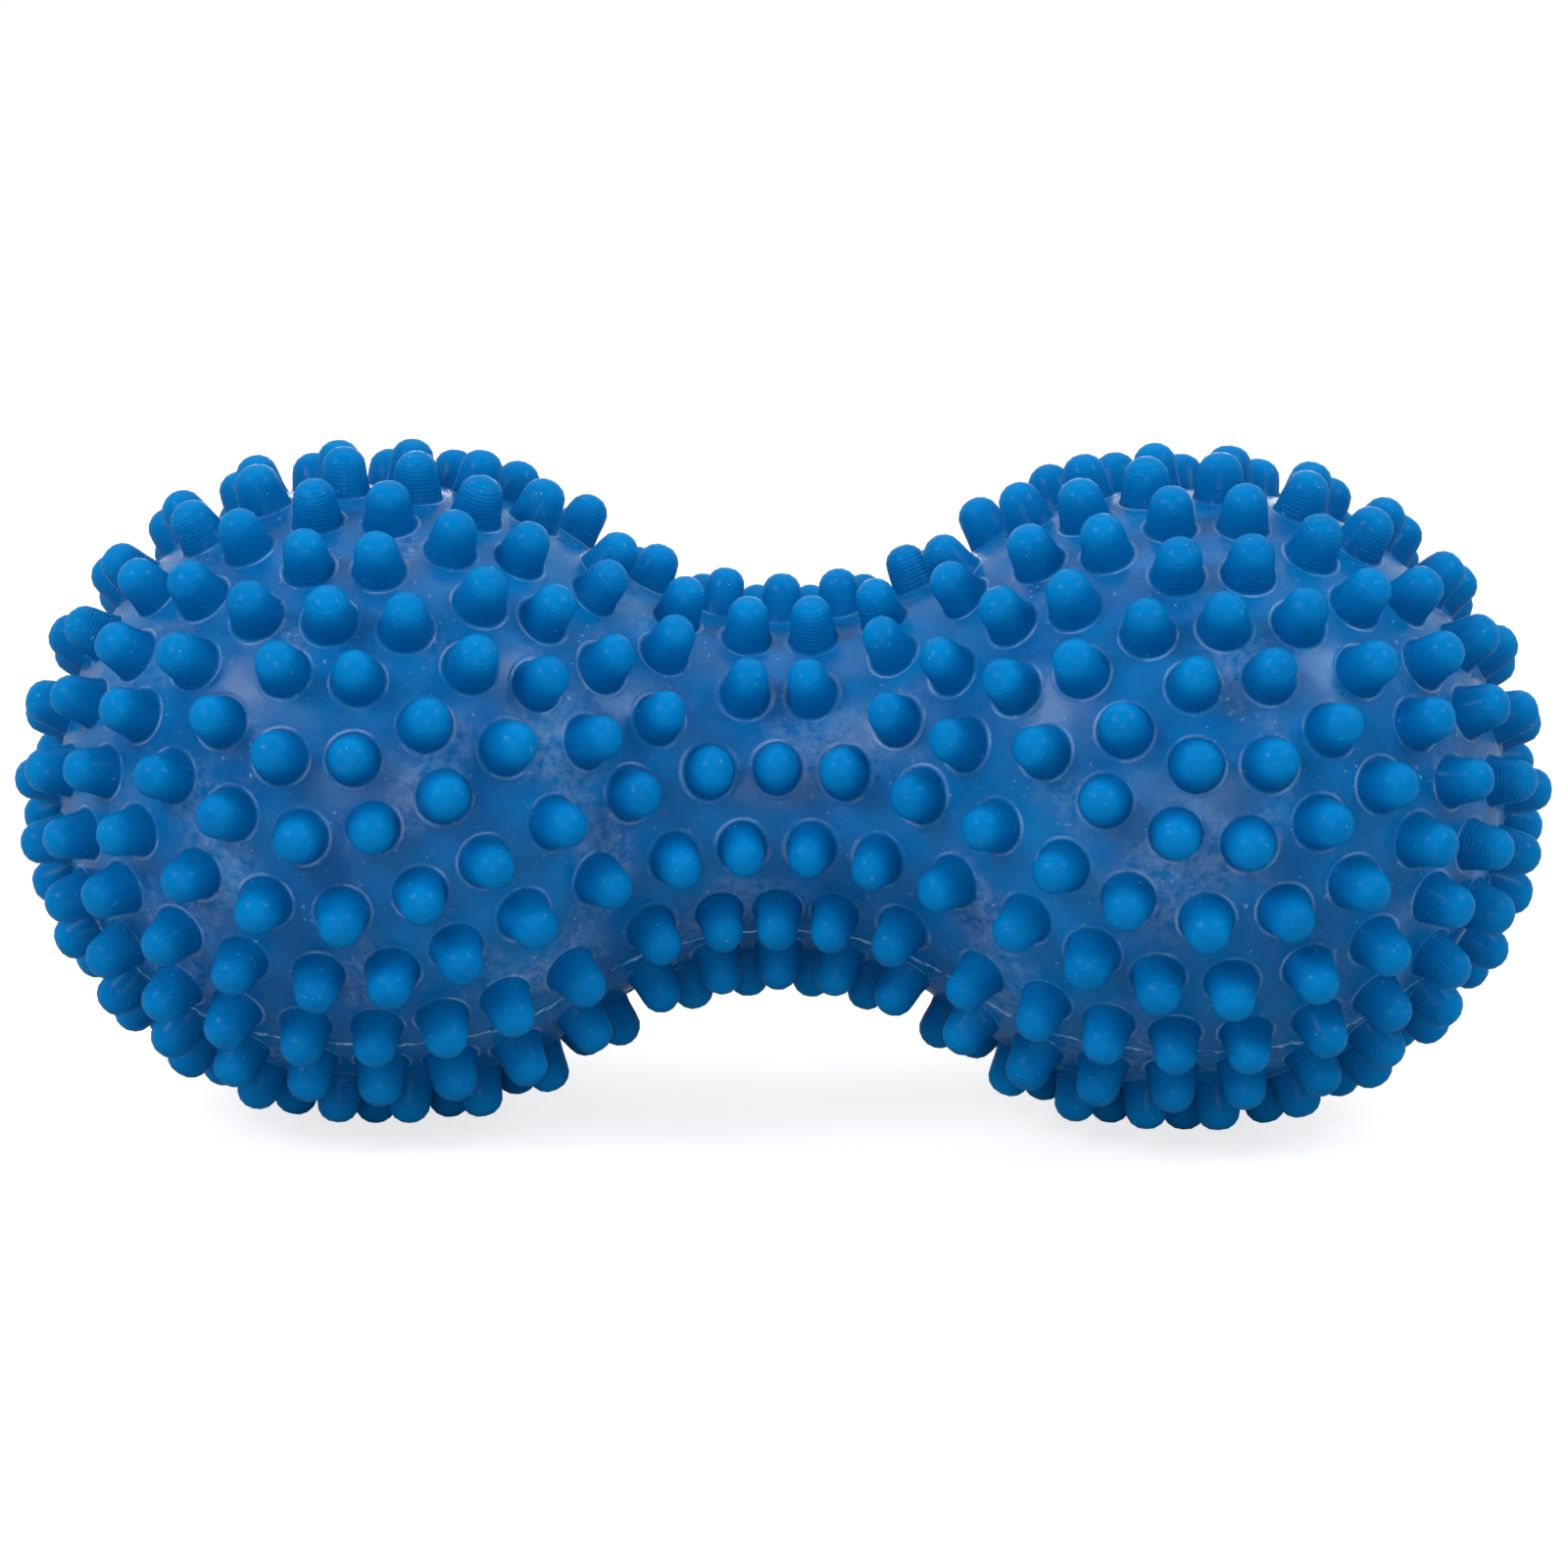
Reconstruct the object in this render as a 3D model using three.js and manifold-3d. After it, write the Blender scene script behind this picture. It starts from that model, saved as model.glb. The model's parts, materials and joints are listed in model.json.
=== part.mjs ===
// Peanut-shaped massage ball: a hollow, rotationally moulded PVC shell covered in solid nubs,
// with a push-in inflation valve. Millimetres, +Z up, +X along the ball's long axis.
import * as THREE from 'three';
import { ConvexHull } from 'three/addons/math/ConvexHull.js';
import { mergeVertices } from 'three/addons/utils/BufferGeometryUtils.js';
import Module from 'manifold-3d';

const wasm = await Module();
wasm.setup();

// ---- Driving dimensions: shell ----
const LOBE_RADIUS = 32.1;
const LOBE_CENTRE = 45.45;         // from the middle of the ball to a lobe's outer centre
const LOBE_STRETCH = 5;            // how far the lobe's inner side is drawn towards the waist
const WAIST_RADIUS = 18;
const WALL = 2.6;
const HOLLOW_SIDES = 18;

// ---- Driving dimensions: nubs ----
const NUB_HEIGHT = 4.9;
const NUB_BASE_RADIUS = 2.95;
const NUB_SHOULDER_RADIUS = 2.25;
const NUB_SHOULDER_HEIGHT = 3;
const NUB_SHOULDER_SIDES = 5;

// ---- Nub layout: each mould half carries rows parallel to the parting line and rings round
// each lobe's pole, the point that faces the mould's opening direction ----
const RING_STEP = Math.PI / 13;    // angle between neighbouring rings, seen from the lobe's centre
const WAIST_STEP = Math.PI / 7;    // angle between neighbouring rows round the waist
const ROWS = [
  { count: 53, start: 0 },         // next to the parting line
  { count: 49, start: 0.5 },
  { count: 45, start: 0 },
];
const RINGS = [
  { count: 6, phase: 0.1 },        // next to the pole
  { count: 12, phase: 0.6 },
  { count: 17, phase: 0.1 },
];
const WAIST_CROWDING = 0.19;       // nubs in a row stand closer together at the waist
const WAIST_REACH = 60;
const SHOULDER_THINNING = 0.34;    // and farther apart where the waist turns into the lobe
const SHOULDER_PLACE = 17.2;
const SHOULDER_WIDTH = 7.7;
const ROW_SPREAD = 0.53;           // share of the skin's growth that the waist's rows follow
const ROW_BEND = [21.8, 44];       // the rows leave their waist spacing between these distances
const ROW_SAMPLES = 1500;
// Nubs that fill the fork between the lobe's rings and the waist: distance from the middle, offset
const FORK = [[3.8, 0], [12.3, 4.4], [12.3, -4.4], [18, 0], [19.6, 9], [19.6, -9]];
const SCATTER = 0.35;              // moulding irregularity of a nub's place
const LEAN = 0.05;                 // and of its direction
const BARE_RADIUS = 5.35;          // the skin round the valve carries no nub
const MIDDLE = 0.01;               // a nub nearer than this to the middle plane is its own mirror

// ---- Driving dimensions: valve, measured along its axis from the lobe's centre ----
const GAP = 0.3;
const SEAT_LEVEL = 31.3;
const SEAT_RADIUS = 4.6;
const FLANGE_RADIUS = 4.3;
const FLANGE_TOP = 32.7;
const FLANGE_CHAMFER = 0.3;
const NECK_RADIUS = 3.3;
const COLLAR_RADIUS = 4.2;
const COLLAR_TOP = 28.7;
const COLLAR_BOTTOM = 27.5;
const BUSHING_END = 22.1;
const BUSHING_END_RADIUS = 2.7;
const BORE_RADIUS = 1.7;
const COUNTERBORE_RADIUS = 2.9;
const COUNTERBORE_FLOOR = 31.4;
const PLUG_CHAMFER = 0.25;
const PLUG_END = 23.8;
const PLUG_TIP_RADIUS = 0.8;
const VALVE_SIDES = 28;

// ---- Resting pose ----
const POLE_ELEVATION = 41.5;       // degrees; the ball then rolls to its nearest stable rest
const ROLL_SEARCH = 5;

const INNER_CENTRE = LOBE_CENTRE - LOBE_STRETCH;
// The waist's concave arc runs tangent into the lobe's inner sphere.
const WAIST_ARC = (INNER_CENTRE ** 2 + WAIST_RADIUS ** 2 - LOBE_RADIUS ** 2)
  / (2 * (LOBE_RADIUS - WAIST_RADIUS));
const TANGENT_X = INNER_CENTRE * WAIST_ARC / (LOBE_RADIUS + WAIST_ARC);

const MATERIALS = {
  shell: new THREE.MeshStandardMaterial({ color: 0x0a6fb8, roughness: 0.42, metalness: 0 }),
  bushing: new THREE.MeshStandardMaterial({ color: 0x1b62a5, roughness: 0.55, metalness: 0 }),
  plug: new THREE.MeshStandardMaterial({ color: 0xd8dde2, roughness: 0.5, metalness: 0 }),
};

// ---------- Shell profile ----------

// Radius and outward normal (along the axis, away from it) of the body's skin at distance x.
function skin(x) {
  const d = Math.abs(x);
  const side = Math.sign(x) || 1;
  let radius = LOBE_RADIUS;
  let along = 0;
  if (d < TANGENT_X) {
    radius = WAIST_RADIUS + WAIST_ARC - Math.sqrt(WAIST_ARC ** 2 - d ** 2);
    along = -d / WAIST_ARC;
  } else if (d < INNER_CENTRE) {
    radius = Math.sqrt(LOBE_RADIUS ** 2 - (INNER_CENTRE - d) ** 2);
    along = (d - INNER_CENTRE) / LOBE_RADIUS;
  } else if (d > LOBE_CENTRE) {
    radius = Math.sqrt(Math.max(0, LOBE_RADIUS ** 2 - (d - LOBE_CENTRE) ** 2));
    along = (d - LOBE_CENTRE) / LOBE_RADIUS;
  }
  return { radius, along: along * side, away: Math.sqrt(Math.max(0, 1 - along ** 2)) };
}

// The nearest point of the skin.
function ontoSkin(point) {
  const d = Math.abs(point.x);
  const away = Math.hypot(point.y, point.z);
  let [x, r, size] = [Math.min(d, LOBE_CENTRE), 0, LOBE_RADIUS];
  if (d < INNER_CENTRE) x = INNER_CENTRE;
  if (d < TANGENT_X) [x, r, size] = [0, WAIST_RADIUS + WAIST_ARC, WAIST_ARC];
  const scale = size / Math.hypot(d - x, away - r);
  const radius = r + (away - r) * scale;
  const along = x + (d - x) * scale;
  return new THREE.Vector3(
    Math.sign(point.x) * along,
    point.y * radius / away,
    point.z * radius / away,
  );
}

// Conformal distance along the skin from the waist: path length over radius, added up.
function conformal(x) {
  const d = Math.abs(x);
  const ratio = (WAIST_RADIUS + WAIST_ARC) / WAIST_ARC;
  const angle = Math.asin(Math.min(d, TANGENT_X) / WAIST_ARC);
  const steep = Math.sqrt((ratio + 1) / (ratio - 1));
  let sum = 2 / Math.sqrt(ratio ** 2 - 1) * Math.atan(steep * Math.tan(angle / 2));
  const onSphere = (length) => Math.atanh(length / LOBE_RADIUS);
  if (d > TANGENT_X) {
    sum += onSphere(INNER_CENTRE - TANGENT_X) - onSphere(Math.max(0, INNER_CENTRE - d));
  }
  if (d > INNER_CENTRE) sum += (Math.min(d, LOBE_CENTRE) - INNER_CENTRE) / LOBE_RADIUS;
  if (d > LOBE_CENTRE) sum += onSphere(d - LOBE_CENTRE);
  return Math.sign(x) * sum;
}

// Half profile of the hollow inside, from one end of the axis to the other.
function hollowProfile() {
  const lobe = LOBE_RADIUS - WALL;
  const waist = WAIST_ARC + WALL;
  const waistAngle = Math.asin(TANGENT_X / WAIST_ARC);
  const points = [];
  const arc = (x, r, size, from, to, steps) => {
    for (let i = 0; i <= steps; i += 1) {
      const a = from + (to - from) * i / steps;
      points.push(new THREE.Vector2(Math.max(0, r + size * Math.sin(a)), x + size * Math.cos(a)));
    }
  };
  const lobeAngle = Math.PI / 2 + waistAngle;
  const top = WAIST_RADIUS + WAIST_ARC;
  arc(-LOBE_CENTRE, 0, lobe, Math.PI, Math.PI / 2, 4);
  arc(-INNER_CENTRE, 0, lobe, Math.PI / 2, Math.PI - lobeAngle, 2);
  arc(0, top, waist, -Math.PI / 2 - waistAngle, -Math.PI / 2 + waistAngle, 4);
  arc(INNER_CENTRE, 0, lobe, lobeAngle, Math.PI / 2, 2);
  arc(LOBE_CENTRE, 0, lobe, Math.PI / 2, 0, 4);
  return points.filter((p, i) => i === 0 || p.distanceTo(points[i - 1]) > 0.05);
}

// ---------- Nub layout ----------
// Layout coordinates: x along the axis, y in the parting plane, z along the mould's opening.

function smoothstep(from, to, value) {
  return THREE.MathUtils.smoothstep(value, from, to);
}

// Path of a row over the +X half, from the waist's lower side round the lobe to its upper side.
function rowPath(row) {
  const lobeHeight = LOBE_RADIUS * Math.sin((row + 0.5) * RING_STEP);
  const end = LOBE_CENTRE + Math.sqrt(LOBE_RADIUS ** 2 - lobeHeight ** 2);
  const points = [];
  for (let i = 0; i <= ROW_SAMPLES; i += 1) {
    const t = Math.PI * i / ROW_SAMPLES;
    const x = end * Math.sin(t);
    const { radius } = skin(x);
    const followed = WAIST_RADIUS + ROW_SPREAD * (radius - WAIST_RADIUS);
    const waistHeight = followed * Math.sin((row + 0.5) * WAIST_STEP);
    const z = waistHeight + (lobeHeight - waistHeight) * smoothstep(...ROW_BEND, x);
    const y = Math.sqrt(Math.max(0, radius ** 2 - z ** 2));
    points.push(new THREE.Vector3(x, t < Math.PI / 2 ? -y : y, z));
  }
  return points;
}

// Places along a row, with a slightly shorter step at the waist and a longer one beside it.
function placesOnRow(path, count, start) {
  const length = [0];
  for (let i = 1; i < path.length; i += 1) {
    const { x } = path[i];
    const thinning = SHOULDER_THINNING * Math.exp(-(((x - SHOULDER_PLACE) / SHOULDER_WIDTH) ** 2));
    const crowding = WAIST_CROWDING * Math.max(0, 1 - x / WAIST_REACH);
    length.push(length[i - 1] + path[i].distanceTo(path[i - 1]) * (1 + crowding - thinning));
  }
  const step = 2 * length[length.length - 1] / count;
  const places = [];
  let i = 1;
  for (let at = start * step; at <= length[length.length - 1] + 1e-6; at += step) {
    while (i < path.length - 1 && length[i] < at) i += 1;
    const f = THREE.MathUtils.clamp((at - length[i - 1]) / (length[i] - length[i - 1]), 0, 1);
    places.push(path[i - 1].clone().lerp(path[i], f));
  }
  return places;
}

function onSkin(x, y) {
  return new THREE.Vector3(x, y, Math.sqrt(skin(x).radius ** 2 - y ** 2));
}

function placesOnRing(ring, count, phase) {
  const radius = LOBE_RADIUS * Math.sin(ring * RING_STEP);
  const places = [];
  for (let i = 0; i < count; i += 1) {
    const a = 2 * Math.PI * (i + phase) / count;
    places.push(onSkin(LOBE_CENTRE + radius * Math.cos(a), radius * Math.sin(a)));
  }
  return places;
}

// A repeatable value between -1 and 1 for each number.
function wobble(n) {
  const v = Math.sin(n * 127.1 + 11.7) * 43758.5453;
  return 2 * (v - Math.floor(v)) - 1;
}

// A nub stands on the skin, nearly square to it. One in the ball's middle plane stays in it.
function nubAt(place, seed) {
  const { along, away } = skin(place.x);
  const turn = Math.atan2(place.z, place.y);
  const axis = new THREE.Vector3(along, away * Math.cos(turn), away * Math.sin(turn));
  const round = new THREE.Vector3(0, -Math.sin(turn), Math.cos(turn));
  const lengthwise = new THREE.Vector3().crossVectors(round, axis);
  const free = place.x > MIDDLE ? 1 : 0;
  const foot = place.clone()
    .addScaledVector(round, SCATTER * wobble(seed))
    .addScaledVector(lengthwise, free * SCATTER * wobble(seed + 0.3));
  axis.addScaledVector(round, LEAN * wobble(seed + 0.6))
    .addScaledVector(lengthwise, free * LEAN * wobble(seed + 0.8));
  return { foot, axis: axis.normalize() };
}

// The +X lobe's pole itself, on the front half or the rear one.
function onPole(half) {
  return {
    foot: new THREE.Vector3(LOBE_CENTRE, 0, half * LOBE_RADIUS),
    axis: new THREE.Vector3(0, 0, half),
  };
}

// All nubs. The two lobes mirror each other, and so do the two mould halves.
function nubLayout() {
  const places = [];
  ROWS.forEach(({ count, start }, row) => {
    places.push(...placesOnRow(rowPath(row), count, start));
  });
  RINGS.forEach(({ count, phase }, i) => {
    places.push(...placesOnRing(i + 1, count, phase));
  });
  FORK.forEach(([x, y]) => places.push(onSkin(x, y)));
  places.push(onSkin(LOBE_CENTRE, 0));
  const nubs = [];
  for (const half of [1, -1]) {
    places.forEach((place, i) => {
      const { foot, axis } = nubAt(place, half * (i + 1));
      foot.z *= half;
      axis.z *= half;
      const isRearPole = half < 0 && i === places.length - 1;
      if (isRearPole) nubs.push({ ...onPole(half), bare: true });
      else nubs.push({ foot, axis, bare: false });
      if (foot.x > MIDDLE) {
        const flip = new THREE.Vector3(-1, 1, 1);
        const mirrored = { foot: foot.clone().multiply(flip), axis: axis.clone().multiply(flip) };
        nubs.push({ ...mirrored, bare: false });
      }
    });
  }
  return nubs;
}

// ---------- Outer skin ----------

// Triangles [a, b, c] joining neighbouring feet, corners in order round the outward normal. The
// hull of the feet's conformal image on a sphere gives each foot its true neighbours.
function neighbourTriangles(nubs) {
  const images = nubs.map(({ foot }) => {
    const u = conformal(foot.x);
    const turn = Math.atan2(foot.z, foot.y);
    const ring = 1 / Math.cosh(u);
    return new THREE.Vector3(Math.tanh(u), ring * Math.cos(turn), ring * Math.sin(turn));
  });
  const indexOf = new Map(images.map((image, i) => [image, i]));
  const hull = new ConvexHull().setFromPoints(images);
  return hull.faces.map((face) => {
    const corners = [face.edge, face.edge.next, face.edge.next.next];
    return corners.map((edge) => indexOf.get(edge.head().point));
  });
}

// For each foot, the triangles round it in turning order: [{ neighbour, triangle }].
function trianglesRound(count, triangles) {
  const links = Array.from({ length: count }, () => new Map());
  triangles.forEach((corners, triangle) => {
    corners.forEach((foot, i) => {
      const [neighbour, next] = [corners[(i + 1) % 3], corners[(i + 2) % 3]];
      links[foot].set(neighbour, { neighbour, next, triangle });
    });
  });
  return links.map((link) => {
    const ring = [link.values().next().value];
    while (ring.length < link.size) ring.push(link.get(ring[ring.length - 1].next));
    return ring;
  });
}

// Joins two rings of corners round one axis, the outer one first, by turning angle.
function joinRings(outer, inner, addTriangle) {
  let [i, j] = [0, 0];
  const at = (ring, k) => ring[k % ring.length];
  const angle = (ring, k) => at(ring, k).angle + 2 * Math.PI * Math.floor(k / ring.length);
  while (i < outer.length || j < inner.length) {
    const nextOuter = i < outer.length ? angle(outer, i + 1) : Infinity;
    const nextInner = j < inner.length ? angle(inner, j + 1) : Infinity;
    if (nextOuter <= nextInner) {
      addTriangle(at(outer, i).index, at(outer, i + 1).index, at(inner, j).index);
      i += 1;
    } else {
      addTriangle(at(outer, i).index, at(inner, j + 1).index, at(inner, j).index);
      j += 1;
    }
  }
}

// The skin with its nubs: each nub's foot has one corner towards every triangle of neighbours.
function skinGeometry(nubs) {
  const positions = [];
  const index = [];
  const addPoint = (point) => positions.push(...point.toArray()) / 3 - 1;
  const addTriangle = (a, b, c) => index.push(a, b, c);
  const triangles = neighbourTriangles(nubs);
  const rounds = trianglesRound(nubs.length, triangles);
  const corner = triangles.map(() => new Map());
  nubs.forEach(({ foot, axis, bare }, i) => {
    const right = new THREE.Vector3(0, 1, 0).cross(axis).normalize();
    const up = new THREE.Vector3().crossVectors(axis, right);
    const around = (angle, radius, height) => foot.clone()
      .addScaledVector(axis, height)
      .addScaledVector(right, radius * Math.cos(angle))
      .addScaledVector(up, radius * Math.sin(angle));
    const bearing = (other) => {
      const towards = nubs[other].foot.clone().sub(foot);
      return Math.atan2(towards.dot(up), towards.dot(right));
    };
    const base = [];
    rounds[i].forEach(({ neighbour, next, triangle }) => {
      const from = bearing(neighbour);
      const swing = THREE.MathUtils.euclideanModulo(bearing(next) - from, 2 * Math.PI);
      let angle = from + swing / 2;
      while (base.length > 0 && angle < base[base.length - 1].angle) angle += 2 * Math.PI;
      const place = ontoSkin(around(angle, bare ? BARE_RADIUS : NUB_BASE_RADIUS, 0));
      base.push({ angle, index: addPoint(place) });
      corner[triangle].set(i, base[base.length - 1].index);
    });
    const top = addPoint(around(0, 0, bare ? 0 : NUB_HEIGHT));
    let rim = base;
    if (!bare) {
      rim = Array.from({ length: NUB_SHOULDER_SIDES }, (_, k) => {
        const angle = base[0].angle + 2 * Math.PI * k / NUB_SHOULDER_SIDES;
        return { angle, index: addPoint(around(angle, NUB_SHOULDER_RADIUS, NUB_SHOULDER_HEIGHT)) };
      });
      joinRings(base, rim, addTriangle);
    }
    rim.forEach(({ index: at }, k) => addTriangle(at, rim[(k + 1) % rim.length].index, top));
  });
  const across = new Map();
  triangles.forEach((corners, t) => {
    addTriangle(...corners.map((foot) => corner[t].get(foot)));
    corners.forEach((foot, i) => across.set(`${foot},${corners[(i + 1) % 3]}`, t));
  });
  across.forEach((left, edge) => {
    const [a, b] = edge.split(',').map(Number);
    if (a > b) return;
    const right = across.get(`${b},${a}`);
    const [aRight, bRight] = [corner[right].get(a), corner[right].get(b)];
    const [aLeft, bLeft] = [corner[left].get(a), corner[left].get(b)];
    addTriangle(aRight, bRight, bLeft);
    addTriangle(aRight, bLeft, aLeft);
  });
  const geometry = new THREE.BufferGeometry();
  geometry.setAttribute('position', new THREE.Float32BufferAttribute(positions, 3));
  geometry.setIndex(index);
  return geometry;
}

// ---------- Solids ----------

// Closes a geometry's seams: shared corners become one vertex, and empty triangles go.
function welded(geometry) {
  geometry.deleteAttribute('normal');
  geometry.deleteAttribute('uv');
  const merged = mergeVertices(geometry, 1e-4);
  const triangles = [];
  const index = merged.index.array;
  for (let i = 0; i < index.length; i += 3) {
    const [a, b, c] = [index[i], index[i + 1], index[i + 2]];
    if (a !== b && b !== c && c !== a) triangles.push(a, b, c);
  }
  merged.setIndex(triangles);
  return merged;
}

function toSolid(closed) {
  return new wasm.Manifold(new wasm.Mesh({
    numProp: 3,
    vertProperties: Float32Array.from(closed.attributes.position.array),
    triVerts: Uint32Array.from(closed.index.array),
  }));
}

function toGeometry(solid) {
  const mesh = solid.getMesh();
  const indexed = new THREE.BufferGeometry();
  indexed.setAttribute('position', new THREE.BufferAttribute(mesh.vertProperties, mesh.numProp));
  indexed.setIndex(new THREE.BufferAttribute(mesh.triVerts, 1));
  const geometry = indexed.toNonIndexed();
  geometry.computeVertexNormals();
  return geometry;
}

// A turned shape whose profile [radius, height] pairs run up the +Z axis.
function turned(profile, sides) {
  const points = profile.map(([r, z]) => new THREE.Vector2(r, z));
  return welded(new THREE.LatheGeometry(points, sides)).rotateX(Math.PI / 2);
}

function hollowGeometry() {
  return welded(new THREE.LatheGeometry(hollowProfile(), HOLLOW_SIDES)).rotateZ(-Math.PI / 2);
}

// ---------- Sub-parts, in layout coordinates ----------

// Turns a shape whose axis is +Z onto the valve's axis, through the rear pole of the +X lobe.
function onValveAxis(geometry) {
  return geometry.rotateX(Math.PI).translate(LOBE_CENTRE, 0, 0);
}

function shellGeometry(nubs) {
  const solid = toSolid(skinGeometry(nubs)).subtract(toSolid(hollowGeometry()));
  const through = [
    [0, BUSHING_END],
    [SEAT_RADIUS, BUSHING_END],
    [SEAT_RADIUS, COLLAR_TOP + GAP],
    [NECK_RADIUS + GAP, COLLAR_TOP + GAP],
    [NECK_RADIUS + GAP, SEAT_LEVEL],
    [SEAT_RADIUS, SEAT_LEVEL],
    [SEAT_RADIUS, LOBE_RADIUS + 2],
    [0, LOBE_RADIUS + 2],
  ];
  return toGeometry(solid.subtract(toSolid(onValveAxis(turned(through, VALVE_SIDES)))));
}

function bushingGeometry() {
  const profile = [
    [BORE_RADIUS, BUSHING_END],
    [BUSHING_END_RADIUS, BUSHING_END],
    [COLLAR_RADIUS, COLLAR_BOTTOM],
    [COLLAR_RADIUS, COLLAR_TOP],
    [NECK_RADIUS, COLLAR_TOP],
    [NECK_RADIUS, SEAT_LEVEL + GAP],
    [FLANGE_RADIUS, SEAT_LEVEL + GAP],
    [FLANGE_RADIUS, FLANGE_TOP - FLANGE_CHAMFER],
    [FLANGE_RADIUS - FLANGE_CHAMFER, FLANGE_TOP],
    [COUNTERBORE_RADIUS, FLANGE_TOP],
    [COUNTERBORE_RADIUS, COUNTERBORE_FLOOR],
    [BORE_RADIUS, COUNTERBORE_FLOOR],
    [BORE_RADIUS, BUSHING_END],
  ];
  return onValveAxis(turned(profile, VALVE_SIDES));
}

function plugGeometry() {
  const head = COUNTERBORE_RADIUS - GAP;
  const stem = BORE_RADIUS - GAP;
  const profile = [
    [0, PLUG_END],
    [PLUG_TIP_RADIUS, PLUG_END],
    [stem, PLUG_END + 1.2],
    [stem, COUNTERBORE_FLOOR + GAP],
    [head, COUNTERBORE_FLOOR + GAP],
    [head, FLANGE_TOP - PLUG_CHAMFER],
    [head - PLUG_CHAMFER, FLANGE_TOP],
    [0, FLANGE_TOP],
  ];
  return onValveAxis(turned(profile, VALVE_SIDES));
}

// ---------- Resting pose and assembly ----------

// Rotation about X that lifts the mould's opening direction to an elevation on the -Y side.
function rollFor(elevation) {
  return THREE.MathUtils.degToRad(90 - elevation);
}

// Height of the axis above a floor that the lowest nub touches.
function axisHeight(nubs, elevation) {
  const roll = rollFor(elevation);
  let lowest = 0;
  for (const { foot, axis } of nubs) {
    const tip = foot.clone().addScaledVector(axis, NUB_HEIGHT);
    lowest = Math.min(lowest, tip.y * Math.sin(roll) + tip.z * Math.cos(roll));
  }
  return -lowest;
}

// The ball comes to rest where its axis is lowest, on two rows of nubs at once.
function restingElevation(nubs) {
  let [low, high] = [POLE_ELEVATION - ROLL_SEARCH, POLE_ELEVATION + ROLL_SEARCH];
  const heights = [];
  const steps = 2000;
  for (let i = 0; i <= steps; i += 1) {
    const elevation = low + (high - low) * i / steps;
    heights.push({ elevation, height: axisHeight(nubs, elevation) });
  }
  const best = heights.reduce((a, b) => (b.height < a.height ? b : a));
  const fine = (high - low) / steps;
  [low, high] = [best.elevation - fine, best.elevation + fine];
  for (let i = 0; i < 60; i += 1) {
    const third = (high - low) / 3;
    if (axisHeight(nubs, low + third) < axisHeight(nubs, high - third)) high -= third;
    else low += third;
  }
  return (low + high) / 2;
}

function namedMesh(name, geometry, material) {
  const mesh = new THREE.Mesh(geometry, material);
  mesh.name = name;
  return mesh;
}

function massageBall() {
  const nubs = nubLayout();
  const elevation = restingElevation(nubs);
  const rolled = new THREE.Group();
  rolled.add(
    namedMesh('shell', shellGeometry(nubs), MATERIALS.shell),
    namedMesh('valve_bushing', bushingGeometry(), MATERIALS.bushing),
    namedMesh('valve_plug', plugGeometry(), MATERIALS.plug),
  );
  rolled.rotation.x = rollFor(elevation);
  const ball = new THREE.Group();
  ball.add(rolled);
  ball.updateMatrixWorld(true);
  const box = new THREE.Box3().setFromObject(ball, true);
  rolled.position.set(-(box.min.x + box.max.x) / 2, -(box.min.y + box.max.y) / 2, -box.min.z);
  ball.updateMatrixWorld(true);
  return ball;
}

export default massageBall();
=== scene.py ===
"""A peanut-shaped, nubbed massage ball: a hollow PVC shell with a push-in valve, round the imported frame."""
import json
import math

import bmesh
import bpy
import numpy as np
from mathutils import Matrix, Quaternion, Vector
from mathutils.kdtree import KDTree


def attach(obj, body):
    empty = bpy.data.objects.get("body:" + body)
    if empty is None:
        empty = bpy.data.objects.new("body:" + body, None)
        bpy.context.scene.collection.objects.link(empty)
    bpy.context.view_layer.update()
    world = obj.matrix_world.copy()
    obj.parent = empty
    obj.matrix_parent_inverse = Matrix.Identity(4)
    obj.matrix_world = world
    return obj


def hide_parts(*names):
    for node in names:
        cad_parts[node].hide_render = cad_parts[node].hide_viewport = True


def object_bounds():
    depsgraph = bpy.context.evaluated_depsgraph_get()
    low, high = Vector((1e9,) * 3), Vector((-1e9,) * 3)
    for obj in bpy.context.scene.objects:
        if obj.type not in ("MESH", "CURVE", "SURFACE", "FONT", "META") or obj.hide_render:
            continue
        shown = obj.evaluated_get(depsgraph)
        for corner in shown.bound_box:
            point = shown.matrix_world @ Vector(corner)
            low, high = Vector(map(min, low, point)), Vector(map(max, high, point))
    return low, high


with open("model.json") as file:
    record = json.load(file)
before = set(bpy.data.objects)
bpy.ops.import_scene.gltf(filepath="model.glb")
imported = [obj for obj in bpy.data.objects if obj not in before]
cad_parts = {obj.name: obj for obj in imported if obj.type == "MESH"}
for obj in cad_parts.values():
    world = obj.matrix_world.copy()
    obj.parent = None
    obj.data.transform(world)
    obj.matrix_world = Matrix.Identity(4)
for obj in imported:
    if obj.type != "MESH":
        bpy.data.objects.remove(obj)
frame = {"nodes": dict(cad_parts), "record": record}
CAD_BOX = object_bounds()
MM = 0.001  # metres

# ---- The shell's skin, in millimetres ----
LOBE_RADIUS = 32.1
LOBE_CENTRE = 45.45
INNER_CENTRE = 40.45
WAIST_RADIUS = 18.0
WAIST_ARC = (INNER_CENTRE**2 + WAIST_RADIUS**2 - LOBE_RADIUS**2) / (2 * (LOBE_RADIUS - WAIST_RADIUS))
TANGENT_X = INNER_CENTRE * WAIST_ARC / (LOBE_RADIUS + WAIST_ARC)
WALL = 2.6
NUB_HEIGHT = 4.9

# ---- The valve, measured along its axis from the lobe's centre ----
RIM_LEVEL = 32.7
SEAT_LEVEL = 31.3
SEAT_RADIUS = 4.6
HOLE_RADIUS = 3.6
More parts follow.
